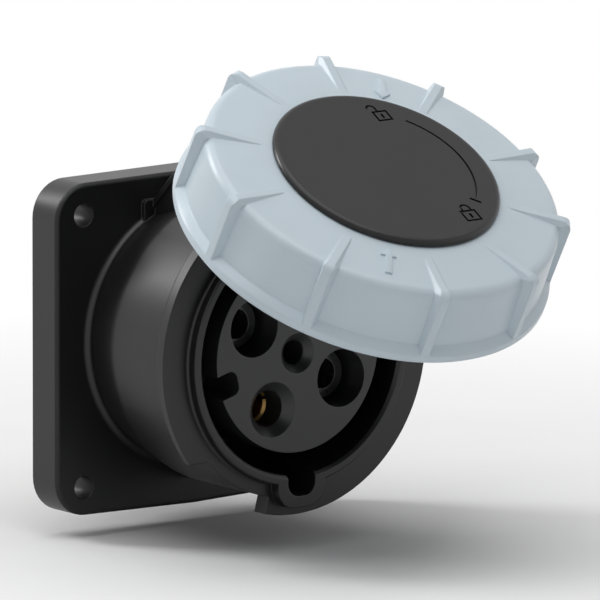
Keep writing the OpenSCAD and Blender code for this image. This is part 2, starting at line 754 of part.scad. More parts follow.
// Profile of the bayonet ring: rim, sloping ledge, side panel, rounded edge and front wall
module ring_profile() {
    panel_top = panel_r - 0.7;
    edge_top = ring_h - front_fall;
    ledge_high = rim_h + 1.9;
    polygon(concat(
        [[ring_bore_r, 0.6], [ring_bore_r + 0.6, 0], [rim_r - 0.8, 0], [rim_r, 0.8], [rim_r, rim_h - 0.5]],
        [[rim_r - 0.5, rim_h + 0.2], [panel_r + 0.3, ledge_high - 0.3], [panel_r, ledge_high]],
        arc(panel_top - ring_edge_r, edge_top - ring_edge_r, ring_edge_r, 0, 90, 8),
        [[disc_r + 0.8, ring_h], [hub_r + run_gap, ring_h], [hub_r + run_gap, wall_low]],
        [[ring_bore_r - 1, wall_low], [ring_bore_r, wall_low - 1]]));
}

// One grip rib: its level top leaves the sloping front near the disc, turns over the edge and runs down to the rim
module rib() {
    outer = rim_r - 0.1;
    corner = 3;
    edge_top = ring_h - front_fall;
    top = edge_top + rib_rise;
    start = disc_r + 1.8;
    crest = rib_w * 0.24;
    foot = rib_w / 2;
    intersection() {
        rotate([90, 0, 0]) translate([0, 0, -rib_w]) linear_extrude(2 * rib_w)
            polygon(concat(
                [[start, edge_top - 0.6], [start, top - 0.1]],
                arc(outer - corner, top - corner, corner, 90, 0, 8),
                [[outer, 1.5], [ring_bore_r + 1, 1.5], [ring_bore_r + 1, edge_top - 0.6]]));
        linear_extrude(ring_h + 10) polygon([
            [start, -foot * 0.45], [panel_r - 3, -foot], [panel_r - 1, -foot], [rim_r + 1, -crest],
            [rim_r + 1, crest], [panel_r - 1, foot], [panel_r - 3, foot], [start, foot * 0.45]]);
        rotate([90, 0, 90]) linear_extrude(rim_r + 2) polygon([
            [-foot, 0], [foot, 0], [foot, edge_top - 0.4], [crest, top + 0.1], [-crest, top + 0.1], [-foot, edge_top - 0.4]]);
    }
}

// Pale bayonet ring that turns on the lid's hub, with its grip ribs and two lugs
module bayonet_ring() {
    color(pale) on_lid() {
        union() {
            rotate_extrude() ring_profile();
            for (clock = rib_clocks, turn = [0, 180]) rotate([0, 0, polar(clock + turn)]) rib();
            for (turn = [0, 180]) rotate([0, 0, polar(gap_clock + lug_angle / 2 + turn)])
                rotate_extrude(angle = lug_angle)
                    translate([lug_reach, lug_front - lug_t]) square([ring_bore_r - lug_reach + 1, lug_t]);
        }
    }
}

// Thin slide washer between the plate and the ring's front wall
module ring_washer() {
    color(steel) on_lid() translate([0, 0, plate_top]) difference() {
        cylinder(r = hub_r + 9, h = washer_t);
        translate([0, 0, -1]) cylinder(r = hub_r + run_gap, h = washer_t + 2);
    }
}

housing();
panel_gasket();
base_ring();
retaining_plate();
insert_base();
contact_insert();
guide_sleeves();
insert_screws();
insert_seal();
contact_l1();
contact_l2();
contact_l3();
contact_earth();
contact_pilot();
contact_springs();
terminal_carrier();
carrier_screws();
terminal_screws();
hinge_pin();
lid_plate();
lid_seal();
lid_cap();
lid_screws();
bayonet_ring();
ring_washer();
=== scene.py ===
"""Industrial panel socket: finishes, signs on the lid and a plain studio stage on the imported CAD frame."""

import json
import math

import bpy
from bpy.props import FloatProperty, FloatVectorProperty, PointerProperty
from bpy.types import Operator, Panel, PropertyGroup
from mathutils import Matrix, Vector


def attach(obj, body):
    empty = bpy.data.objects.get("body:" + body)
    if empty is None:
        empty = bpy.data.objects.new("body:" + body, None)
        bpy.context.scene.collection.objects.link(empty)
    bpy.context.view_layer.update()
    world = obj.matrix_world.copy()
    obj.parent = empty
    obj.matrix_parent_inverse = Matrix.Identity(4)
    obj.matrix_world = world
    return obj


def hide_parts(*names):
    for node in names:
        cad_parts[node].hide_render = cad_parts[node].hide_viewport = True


bl_info = {
    "name": "Industrial Panel Socket",
    "version": (1, 0, 0),
    "blender": (4, 5, 0),
    "location": "View3D > Sidebar > Panel Socket",
    "description": (
        "Moulded finishes, grip ring, lid signs and studio stage for a panel socket with a bayonet lid"
    ),
    "category": "Object",
}

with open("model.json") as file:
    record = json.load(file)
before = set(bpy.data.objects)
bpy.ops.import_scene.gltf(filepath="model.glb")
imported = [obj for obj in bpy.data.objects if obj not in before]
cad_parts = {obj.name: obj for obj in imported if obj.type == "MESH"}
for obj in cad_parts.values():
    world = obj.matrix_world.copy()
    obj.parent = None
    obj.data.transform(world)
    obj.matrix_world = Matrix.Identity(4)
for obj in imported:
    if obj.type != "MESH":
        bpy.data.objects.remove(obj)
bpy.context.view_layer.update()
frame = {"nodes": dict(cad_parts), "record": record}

# Places that the CAD fixes, in metres: the hinge's axis, the height of the socket's axis above the middle
# of the fixing holes, and the distance from the panel to the back of the shut grip ring
HINGE = Vector((0, -0.0375, 0.0606))
AXIS_HEIGHT = 0.0024
RING_BACK = 0.048

# The ring's front: the radius just outside the disc where it starts to fall, its height above the
# ring's back there, and its fall over each metre outwards
DISC_EDGE = 0.0359
RING_FRONT = 0.0254
FRONT_SLOPE = 1.4 / 16

# Degrees that the lid stands open in the photograph, which is its rest
LID_OPEN = 60

# The floor lies just below the grip ring's rim as the lid shuts
FLOOR = AXIS_HEIGHT - 0.0588

# Takes the lid's own frame (x right, y up, z out of its front) to where the lid stands at rest
LID = (
    Matrix.Translation(HINGE)
    @ Matrix.Rotation(math.radians(-LID_OPEN), 4, "X")
    @ Matrix.Translation(-HINGE)
    @ Matrix.Translation((0, -RING_BACK, AXIS_HEIGHT))
    @ Matrix.Rotation(math.radians(90), 4, "X")
)

# A length too small to see: corners closer than this are one corner
HAIR = 1e-6

# An arrow's shaft as a share of its length, its blunt tip as a share of its barbs, and how deep its
# foot sits in the ring
ARROW_SHAFT = 0.7
ARROW_POINT = 0.02
ARROW_FOOT = 0.0004

# Bevel of an arrow's edges, the angle above which an edge is bevelled, and the angle below which two
# of its facets are shaded as one surface
ARROW_BEVEL = 0.00008
ARROW_SHARP = math.radians(50)
ARROW_SMOOTH = math.radians(35)

# Shares of a padlock's height: the ends of its keyhole, and the shackle's leg when shut and when open
KEYHOLE = (0.32, 0.62)
SHACKLE_SHUT = 0.28
SHACKLE_OPEN = 0.4

# Shares of a padlock's width: half the shackle, and how far the open shackle is shifted to the left
SHACKLE_REACH = 0.3
SHACKLE_SHIFT = 0.42

# How much broader than the other lines the keyhole and the tick are cut
KEYHOLE_BROADER = 1.2
TICK_BROADER = 1.3

# Steps in which the shackle's bow and the arc between the padlocks are bent
SHACKLE_STEPS = 14
ARC_STEPS = 60

# Padlocks on the disc: left edge, lower edge, width, height, and whether it is open
PADLOCKS = (
    (0.0106, 0.0207, 0.0047, 0.004, True),
    (0.0116, -0.0274, 0.005, 0.0043, False),
)

# Clock angles of the arc's start, its end and the tick across its end, and how far the tick reaches
# inside and outside the arc
ARC_START, ARC_END, TICK = math.radians(45), math.radians(132), math.radians(134)
TICK_INSIDE, TICK_OUTSIDE = 0.001, 0.0017

# How far the cutting bars stand above the disc's face
CUT_ABOVE = 0.0006

# Sizes of the patterns in the finishes, in metres
MELT_LUMPS = 0.018
TARNISH_PATCHES = 0.003
BLOOM_PATCHES = 0.006
RUBBER_SKIN = 0.0002
FLOOR_PATCHES = 0.05

# How far the paler band along an edge reaches into plastic and into metal, and how much paler it leaves
# them: rubbed wear on metal, wear and a painted highlight on plastic
PLASTIC_EDGE_BAND, PLASTIC_WEAR_AND_HIGHLIGHT = 0.0007, 1.9
METAL_RUB, METAL_PALER = 0.0004, 1.15

# Divides a wave texture's scale so that its rings lie about twice the tool's size apart
RING_SPREAD = 6.3

# Range in which a noise texture mostly stays, and the range of occlusion that counts as an edge
NOISE_RANGE = (0.3, 0.7)
EDGE_RANGE = (0.35, 0.8)

# Sockets of a Mix node that mixes colours
MIX_FACTOR, MIX_FIRST, MIX_SECOND, MIX_RESULT = 0, 6, 7, 2

# About the middle of the open socket: the lamps face it and the floor is centred under it
MIDDLE = Vector((0.0, -0.07, 0.01))

# Lamps: place, width, height, and the stage setting that holds the power
LAMPS = {
    "key_lamp": ((-0.2, -0.2, 1.1), 1.3, 1.3, "key"),
    "fill_lamp": ((0.9, -0.7, 0.35), 1.0, 1.0, "fill"),
    "rim_lamp": ((-0.42, 0.58, 0.6), 0.22, 0.46, "rim"),
}

# Camera: its film's width in millimetres, how far towards it from the origin the view's width is
# measured, and the nearest and farthest that it sees
FILM_WIDTH = 36
VIEW_PLANE = 0.058
CLIP_NEAR, CLIP_FAR = 0.1, 40

# Floor: its radius, its corners, and the distances from the origin where its fade into the white
# surroundings starts and ends
FLOOR_RADIUS = 3
FLOOR_CORNERS = 96
FADE = (0.1, 0.34)


# Sizes and colours a user would change


class SocketSignSizes(PropertyGroup):
    """Sizes of the arrows on the grip ring and of the signs cut into the disc."""

    arrow_tail: FloatProperty(
        name="Arrow tail", description="Distance of an arrow's tail from the lid's axis",
        default=0.0492, unit="LENGTH",
    )
    arrow_tip: FloatProperty(
        name="Arrow tip", description="Distance of an arrow's tip from the lid's axis",
        default=0.0383, unit="LENGTH",
    )
    arrow_shaft: FloatProperty(
        name="Arrow shaft", description="Width of an arrow's shaft",
        default=0.0021, unit="LENGTH",
    )
    arrow_head: FloatProperty(
        name="Arrow head", description="Width across an arrow's barbs",
        default=0.005, unit="LENGTH",
    )
    arrow_rise: FloatProperty(
        name="Arrow rise", description="How far an arrow stands above the ring",
        default=0.0006, unit="LENGTH",
    )
    arrow_clock: FloatProperty(
        name="Arrow clock", description="Clock angle of the upper arrow",
        default=math.radians(32), subtype="ANGLE",
    )
    line_width: FloatProperty(
        name="Line width", description="Width of the lines cut into the disc",
        default=0.0007, unit="LENGTH",
    )
    line_depth: FloatProperty(
        name="Line depth", description="Depth of the lines cut into the disc",
        default=0.0006, unit="LENGTH",
    )
    track_radius: FloatProperty(
        name="Track radius", description="Radius of the arc between the two padlocks",
        default=0.0272, unit="LENGTH",
    )


class SocketEdges(PropertyGroup):
    """How far the light rounds the edges and creases of the mouldings."""

    housing: FloatProperty(
        name="Housing edges", description="Radius of the housing's edges",
        default=0.0005, unit="LENGTH",
    )
    ring: FloatProperty(
        name="Ring edges", description="Radius of the grip ring's edges and creases",
        default=0.0007, unit="LENGTH",
    )
    insert: FloatProperty(
        name="Insert edges", description="Radius of the insert's edges",
        default=0.0003, unit="LENGTH",
    )
    smooth: FloatProperty(
        name="Smooth below", description="Facets that meet below this angle are shaded as one surface",
        default=math.radians(28), subtype="ANGLE",
    )


class SocketColours(PropertyGroup):
    """Colours of the socket's finishes."""

    housing: FloatVectorProperty(
        name="Housing", description="Black of the housing and the disc",
        subtype="COLOR", default=(0.005, 0.005, 0.0052),
    )
    insert: FloatVectorProperty(
        name="Insert", description="Black of the contact insert",
        subtype="COLOR", default=(0.02, 0.0205, 0.021),
    )
    ring: FloatVectorProperty(
        name="Grip ring", description="Light blue-grey of the bayonet ring",
        subtype="COLOR", default=(0.56, 0.65, 0.71),
    )
    rubber: FloatVectorProperty(
        name="Rubber", description="Black of the seals",
        subtype="COLOR", default=(0.014, 0.014, 0.014),
    )
    brass: FloatVectorProperty(
        name="Brass", description="Yellow of the contacts",
        subtype="COLOR", default=(0.56, 0.36, 0.13),
    )
    steel: FloatVectorProperty(
        name="Steel", description="Grey of the zinc-plated screws",
        subtype="COLOR", default=(0.6, 0.61, 0.63),
    )


class SocketStage(PropertyGroup):
    """Camera and light of the studio."""

    azimuth: FloatProperty(
        name="Azimuth", description="Camera's angle round to the left of the front",
        default=math.radians(37.06), subtype="ANGLE",
    )
    elevation: FloatProperty(
        name="Elevation", description="Camera's angle above the horizon",
        default=math.radians(10.45), subtype="ANGLE",
    )
    width: FloatProperty(
        name="View width", description="Width of the view at the object",
        default=0.1773, unit="LENGTH",
    )
    right: FloatProperty(
        name="View right", description="How far the view's middle lies right of the origin",
        default=0.03862, unit="LENGTH",
    )
    up: FloatProperty(
        name="View up", description="How far the view's middle lies above the origin",
        default=0.00901, unit="LENGTH",
    )
    lens: FloatProperty(name="Lens", description="Focal length in millimetres", default=1500)
    key: FloatProperty(name="Key", description="Power of the soft key lamp", default=9.3)
    fill: FloatProperty(name="Fill", description="Power of the soft fill lamp", default=0.9)
    rim: FloatProperty(name="Rim", description="Power of the tall lamp behind on the left", default=3.4)
    sky: FloatProperty(name="Sky", description="Light of the pale surroundings", default=0.2)


# Tools for pieces


def only(piece):
    """Leaves one object selected and active."""
    if bpy.context.object and bpy.context.object.mode != "OBJECT":
        bpy.ops.object.mode_set(mode="OBJECT")
    bpy.ops.object.select_all(action="DESELECT")
    piece.select_set(True)
    bpy.context.view_layer.objects.active = piece


def added(name):
    """Names the object that an operator has just added."""
    piece = bpy.context.object
    piece.name = name
    piece.data.name = name
    return piece


def placed(mesh, matrix):
    """Moves a mesh by a matrix."""
    mesh.transform(matrix)
    mesh.update()


def worked(piece, kind, **settings):
    """Adds a modifier to a piece, sets it and applies it."""
    only(piece)
    modifier = piece.modifiers.new(kind.title(), kind)
    for key, value in settings.items():
        setattr(modifier, key, value)
    bpy.ops.object.modifier_apply(modifier=modifier.name)


def joined(name, parts):
    """Joins parts into one object."""
    only(parts[0])
    for part in parts[1:]:
        part.select_set(True)
    bpy.ops.object.join()
    return added(name)


def node_copy(node, name):
    """Copies a CAD node's mesh into a piece of its own, with its triangles merged."""
    piece = bpy.data.objects.new(name, frame["nodes"][node].data.copy())
    piece.data.name = name
    piece.data.materials.clear()
    bpy.context.scene.collection.objects.link(piece)
    only(piece)
    bpy.ops.mesh.customdata_custom_splitnormals_clear()
    bpy.ops.object.mode_set(mode="EDIT")
    bpy.ops.mesh.select_all(action="SELECT")
    bpy.ops.mesh.remove_doubles(threshold=HAIR)
    bpy.ops.object.mode_set(mode="OBJECT")
    return piece


def smoothed(piece):
    """Shades shallow facets as one surface and keeps broad faces flat."""
    only(piece)
    bpy.ops.object.shade_smooth_by_angle(angle=bpy.context.scene.socket_edges.smooth)
    worked(piece, "WEIGHTED_NORMAL", keep_sharp=True)


def finished(piece, material, node):
    """Gives a piece its material and its place among the bodies, instead of a CAD node."""
    bodies = frame["record"]["behaviour"]["bodies"]
    piece.data.materials.clear()
    piece.data.materials.append(material)
    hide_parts(node)
    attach(piece, next(body for body, members in bodies.items() if node in members))


def skin(node, name, material):
    """A smoothly shaded copy that stands for a CAD node whose shape is right."""
    piece = node_copy(node, name)
    smoothed(piece)
    finished(piece, material, node)


def clock_point(radius, clock, height=0.0):
    """Point at a clock angle in the lid's frame."""
    return Vector((radius * math.sin(clock), radius * math.cos(clock), height))


def straight_line(start, end, width, low, high):
    """A straight bar that cuts one line."""
    start, end = Vector((*start, 0)), Vector((*end, 0))
    way = end - start
    bpy.ops.object.select_all(action="DESELECT")
    bpy.ops.mesh.primitive_cube_add(
        size=1,
        location=((start.x + end.x) / 2, (start.y + end.y) / 2, (low + high) / 2),
        rotation=(0, 0, math.atan2(way.y, way.x)),
        scale=(way.length + width, width, high - low),
    )
    bar = added("line")
    bpy.ops.object.transform_apply(location=True, rotation=True, scale=True)
    return bar


def curved_line(centre, radius, start, end, width, low, high, steps):
    """A bar bent round a centre from one clock angle to another: a small face spun about the centre."""
    centre = Vector((*centre, 0))
    place = centre + clock_point(radius, start, (low + high) / 2)
    bpy.ops.object.select_all(action="DESELECT")
    bpy.ops.mesh.primitive_plane_add(size=1, location=place)
    bar = added("arc")
    bar.rotation_euler = (math.radians(90), 0, math.radians(90) - start)
    bar.scale = (width, high - low, 1)
    bpy.ops.object.transform_apply(location=True, rotation=True, scale=True)
    bpy.ops.object.mode_set(mode="EDIT")
    bpy.ops.mesh.select_all(action="SELECT")
    bpy.ops.mesh.spin(steps=steps, angle=end - start, center=centre, axis=(0, 0, 1))
    bpy.ops.mesh.select_all(action="SELECT")
    bpy.ops.mesh.normals_make_consistent(inside=False)
    bpy.ops.object.mode_set(mode="OBJECT")
    return bar


def padlock(left, low_edge, width, height, opened, line, bottom, top):
    """Lines of a padlock: its body, its keyhole and a shackle, which is swung out when it is open."""
    right, high_edge = left + width, low_edge + height
    middle, reach = (left + right) / 2, width * SHACKLE_REACH
    corners = ((left, low_edge), (right, low_edge), (right, high_edge), (left, high_edge))
    lines = [
        straight_line(corner, corners[(step + 1) % 4], line, bottom, top)
        for step, corner in enumerate(corners)
    ]
    keyhole = [(middle, low_edge + height * share) for share in KEYHOLE]
    lines.append(straight_line(*keyhole, line * KEYHOLE_BROADER, bottom, top))
    shift = -width * SHACKLE_SHIFT if opened else 0
    leg = height * (SHACKLE_OPEN if opened else SHACKLE_SHUT)
    bow = (middle + shift, high_edge + leg)
    quarter = math.radians(90)
    lines.append(curved_line(bow, reach, -quarter, quarter, line, bottom, top, SHACKLE_STEPS))
    for side in (1,) if opened else (1, -1):
        foot = bow[0] + side * reach
        lines.append(straight_line((foot, high_edge), (foot, bow[1]), line, bottom, top))
    return lines


# Tools for finishes


def new_finish(name):
    """An empty material with a principled shader on its output."""
    material = bpy.data.materials.new(name)
    material.use_nodes = True
    nodes, links = material.node_tree.nodes, material.node_tree.links
    nodes.clear()
    output = nodes.new("ShaderNodeOutputMaterial")
    output.location = (500, 0)
    shader = nodes.new("ShaderNodeBsdfPrincipled")
    shader.location = (200, 0)
    links.new(shader.outputs["BSDF"], output.inputs["Surface"])
    return material, nodes, links, shader


def add(nodes, kind, place, **settings):
    """Adds a shader node and sets its options, and its sockets where a name is a socket's."""
    made = nodes.new(kind)
    made.location = place
    for key, value in settings.items():
        if key in made.inputs:
            made.inputs[key].default_value = value
        else:
            setattr(made, key, value)
    return made


def noise(nodes, links, where, place, size, detail):
    """Noise whose lumps are about the given size in metres."""
    made = add(nodes, "ShaderNodeTexNoise", place, Scale=1 / size, Detail=detail, Roughness=0.55)
    links.new(where.outputs["Object"], made.inputs["Vector"])
    return made.outputs["Fac"]


def ranged(nodes, links, source, place, low, high, span=NOISE_RANGE):
    """Maps a factor from a span onto a range."""
    made = add(nodes, "ShaderNodeMapRange", place)
    for socket, value in zip(("From Min", "From Max", "To Min", "To Max"), (*span, low, high)):
        made.inputs[socket].default_value = value
    links.new(source, made.inputs["Value"])
    return made.outputs["Result"]


def paler_edge_mask(nodes, links, depth):
    """1 where the piece is thin behind the surface, as beside an edge, and 0 elsewhere."""
    edge = add(
        nodes, "ShaderNodeAmbientOcclusion", (-1100, 600), samples=4, inside=True, Distance=depth
    )
    return ranged(nodes, links, edge.outputs["AO"], (-850, 600), low=1.0, high=0.0, span=EDGE_RANGE)


def blended(nodes, links, factor, place, first, second):
    """Mixes two colours, each a socket or a tuple."""
    made = add(nodes, "ShaderNodeMix", place, data_type="RGBA")
    links.new(factor, made.inputs[MIX_FACTOR])
    for slot, colour in ((MIX_FIRST, first), (MIX_SECOND, second)):
        if isinstance(colour, bpy.types.NodeSocket):
            links.new(colour, made.inputs[slot])
        else:
            made.inputs[slot].default_value = (*colour, 1)
    return made.outputs[MIX_RESULT]


def bumped(nodes, links, height, shader, place, strength, distance):
    """Puts a bump on a shader, and returns it so that another normal can feed it."""
    bump = add(nodes, "ShaderNodeBump", place, Strength=strength, Distance=distance)
    links.new(height, bump.inputs["Height"])
    links.new(bump.outputs["Normal"], shader.inputs["Normal"])
    return bump


def shade(colour, share):
    """The same colour, darker or lighter by a share."""
    return tuple(min(1, part * share) for part in colour)


def seen_directly(nodes, links):
    """1 for camera, glossy and transmission rays, 0 for the others."""
    path = add(nodes, "ShaderNodeLightPath", (-1300, 900))
    total = path.outputs["Is Camera Ray"]
    for step, name in enumerate(("Is Glossy Ray", "Is Transmission Ray")):
        most = add(nodes, "ShaderNodeMath", (-1000 + 200 * step, 900), operation="MAXIMUM")
        links.new(total, most.inputs[0])
        links.new(path.outputs[name], most.inputs[1])
        total = most.outputs[0]
    return total


# Finishes


def moulded(name, colour, *, rough, grain, height, edge_wear_and_highlight, specular, round_edge=0.0, drift=0.08):
    """Moulded plastic: spark-eroded grain, slow drift of colour and gloss from the melt, and paler edges
    that are partly wear and partly a painted highlight.
    """
    material, nodes, links, shader = new_finish(name)
    where = add(nodes, "ShaderNodeTexCoord", (-1500, 0))
    melt = noise(nodes, links, where, (-1100, 300), size=MELT_LUMPS, detail=2.5)
    fine = noise(nodes, links, where, (-1100, -300), size=grain, detail=2.0)
    drifting = ranged(nodes, links, melt, (-850, 300), low=0, high=1)
    dark, light = shade(colour, 1 - drift), shade(colour, 1 + drift)
    body = blended(nodes, links, drifting, (-600, 300), dark, light)
    lifting = ranged(nodes, links, melt, (-850, 100), low=0, high=0.5)
    body = blended(nodes, links, lifting, (-400, 300), body, shade(colour, 1 + 0.5 * drift))
    # Convex edges are painted paler: partly wear, partly a painted highlight where the edges would catch
    # light
    edge_wear_and_highlight_share = add(nodes, "ShaderNodeMath", (-600, 600), operation="MULTIPLY")
    edge_wear_and_highlight_share.inputs[1].default_value = edge_wear_and_highlight
    links.new(paler_edge_mask(nodes, links, PLASTIC_EDGE_BAND), edge_wear_and_highlight_share.inputs[0])
    wear_and_painted_highlight = blended(nodes, links, edge_wear_and_highlight_share.outputs[0], (-100, 300), body, shade(colour, PLASTIC_WEAR_AND_HIGHLIGHT))
    links.new(wear_and_painted_highlight, shader.inputs["Base Color"])
    satin = ranged(nodes, links, melt, (-400, 0), low=rough - 0.01, high=rough + 0.01)
    links.new(satin, shader.inputs["Roughness"])
    bump = bumped(nodes, links, fine, shader, (-100, -300), strength=0.6, distance=height)
    if round_edge:
        soft = add(nodes, "ShaderNodeBevel", (-400, -500), samples=6, Radius=round_edge)
        links.new(soft.outputs["Normal"], bump.inputs["Normal"])
    shader.inputs["Specular IOR Level"].default_value = specular
    return material


def rubber(name, colour):
    """Moulded rubber: dull, with a fine skin and a trace of bloom."""
    material, nodes, links, shader = new_finish(name)
    where = add(nodes, "ShaderNodeTexCoord", (-1300, 0))
    bloom = noise(nodes, links, where, (-900, 200), size=BLOOM_PATCHES, detail=4.0)
    fine = noise(nodes, links, where, (-900, -200), size=RUBBER_SKIN, detail=2.0)
    pale = ranged(nodes, links, bloom, (-600, 200), low=0, high=1)
    bare, bloomed = shade(colour, 0.85), shade(colour, 1.5)
    body = blended(nodes, links, pale, (-300, 200), bare, bloomed)
    links.new(body, shader.inputs["Base Color"])
    dull = ranged(nodes, links, bloom, (-600, 0), low=0.62, high=0.78)
    links.new(dull, shader.inputs["Roughness"])
    bumped(nodes, links, fine, shader, (-300, -200), strength=0.5, distance=0.00003)
    return material


def turned_metal(name, colour, *, tarnish, rough, tool):
    """Metal turned along the socket's depth: tool rings, tarnish in patches and edges rubbed bright."""
    material, nodes, links, shader = new_finish(name)
    where = add(nodes, "ShaderNodeTexCoord", (-1500, 0))
    patches = noise(nodes, links, where, (-1100, 300), size=TARNISH_PATCHES, detail=5.0)
    rings = add(
        nodes, "ShaderNodeTexWave", (-1100, -300), wave_type="BANDS", bands_direction="Y",
        Scale=1 / tool / RING_SPREAD, Distortion=0.6, Detail=2.0,
    )
    links.new(where.outputs["Object"], rings.inputs["Vector"])
    stained = ranged(nodes, links, patches, (-850, 300), low=0, high=1, span=(0.4, 0.75))
    base = blended(nodes, links, stained, (-600, 300), colour, tarnish)
    bright = paler_edge_mask(nodes, links, METAL_RUB)
    base = blended(nodes, links, bright, (-300, 300), base, shade(colour, METAL_PALER))
    links.new(base, shader.inputs["Base Color"])
    satin = ranged(nodes, links, patches, (-600, 0), low=rough - 0.06, high=rough + 0.1)
    links.new(satin, shader.inputs["Roughness"])
    bumped(nodes, links, rings.outputs["Fac"], shader, (-300, -300), strength=0.3, distance=0.00002)
    shader.inputs["Metallic"].default_value = 1.0
    return material


def dress(material, *nodes):
    """Gives CAD nodes a material in every slot."""
    for name in nodes:
        mesh = frame["nodes"][name].data
        if not mesh.materials:
            mesh.materials.append(material)
        for slot in range(len(mesh.materials)):
            mesh.materials[slot] = material


# Operators


class SOCKET_OT_housing(Operator):
    """Satin black finish of the housing, the hinge side of the lid and the carrier behind"""

    bl_idname = "socket.housing"
    bl_label = "Housing"

    def execute(self, context):
        colours, edges = context.scene.socket_colours, context.scene.socket_edges
        black = moulded(
            "housing_black", colours.housing, rough=0.38, grain=0.00025, height=0.000006,
            edge_wear_and_highlight=0.3, specular=0.45, round_edge=edges.housing,
        )
        skin("housing", "housing_shell", black)
        black = moulded(
            "lid_black", colours.housing, rough=0.38, grain=0.0002, height=0.000006,
            edge_wear_and_highlight=0.3, specular=0.4, round_edge=edges.housing,
        )
        skin("lid_plate", "lid_back", black)
        skin("terminal_carrier", "terminal_block", black)
        return {"FINISHED"}


class SOCKET_OT_insert(Operator):
    """Black finish of the contact insert, its inner layers and its glossier guide sleeves"""

    bl_idname = "socket.insert"
    bl_label = "Contact insert"

    def execute(self, context):
        colour, edges = context.scene.socket_colours.insert, context.scene.socket_edges
        satin = moulded(
            "insert_black", colour, rough=0.36, grain=0.0002, height=0.000005,
            edge_wear_and_highlight=0.35, specular=0.45, round_edge=edges.insert,
        )
        skin("contact_insert", "insert_face", satin)
        dress(satin, "insert_base", "base_ring", "retaining_plate")
        # The sleeves' edges are painted paler at full strength: a painted highlight on their rims as well as
        # wear
        glossy = moulded(
            "sleeve_black", shade(colour, 1.2), rough=0.2, grain=0.00015, height=0.000006,
            edge_wear_and_highlight=1.0, specular=0.8, round_edge=edges.insert,
        )
        skin("guide_sleeves", "pin_sleeves", glossy)
        return {"FINISHED"}


class SOCKET_OT_contacts(Operator):
    """Turned brass of the contacts and spring steel round them"""

    bl_idname = "socket.contacts"
    bl_label = "Contacts"

    def execute(self, context):
        colours = context.scene.socket_colours
        brass = turned_metal(
            "contact_brass", colours.brass, tarnish=(0.42, 0.24, 0.09), rough=0.3, tool=0.0003
        )
        dress(brass, "contact_l1", "contact_l2", "contact_l3", "contact_earth", "contact_pilot")
        spring = turned_metal(
            "spring_steel", shade(colours.steel, 0.8), tarnish=(0.36, 0.35, 0.34), rough=0.28, tool=0.0002
        )
        dress(spring, "contact_springs")
        return {"FINISHED"}


class SOCKET_OT_fixings(Operator):
    """Zinc-plated screws, hinge pin and slide washer"""

    bl_idname = "socket.fixings"
    bl_label = "Fixings"

    def execute(self, context):
        steel = context.scene.socket_colours.steel
        zinc = turned_metal("zinc_plate", steel, tarnish=(0.5, 0.5, 0.46), rough=0.32, tool=0.0004)
        dress(zinc, "insert_screws", "carrier_screws", "terminal_screws", "lid_screws", "hinge_pin")
        washer = turned_metal(
            "washer_steel", shade(steel, 0.95), tarnish=(0.46, 0.46, 0.45), rough=0.26, tool=0.0002
        )
        dress(washer, "ring_washer")
        return {"FINISHED"}


class SOCKET_OT_seals(Operator):
    """Dull rubber of the gasket and the seals"""

    bl_idname = "socket.seals"
    bl_label = "Seals"

    def execute(self, context):
        seal = rubber("seal_rubber", context.scene.socket_colours.rubber)
        dress(seal, "panel_gasket", "insert_seal", "lid_seal")
        return {"FINISHED"}


class SOCKET_OT_grip_ring(Operator):
    """Pale finish of the grip ring, with soft light on the edges of its ribs and rim"""

    bl_idname = "socket.grip_ring"
    bl_label = "Grip ring"

    def execute(self, context):
        colours, edges = context.scene.socket_colours, context.scene.socket_edges
        grey = moulded(
            "ring_grey", colours.ring, rough=0.3, grain=0.00022, height=0.0000015,
            edge_wear_and_highlight=0.05, specular=0.5, round_edge=edges.ring, drift=0.02,
        )
        skin("bayonet_ring", "grip_ring", grey)
        return {"FINISHED"}


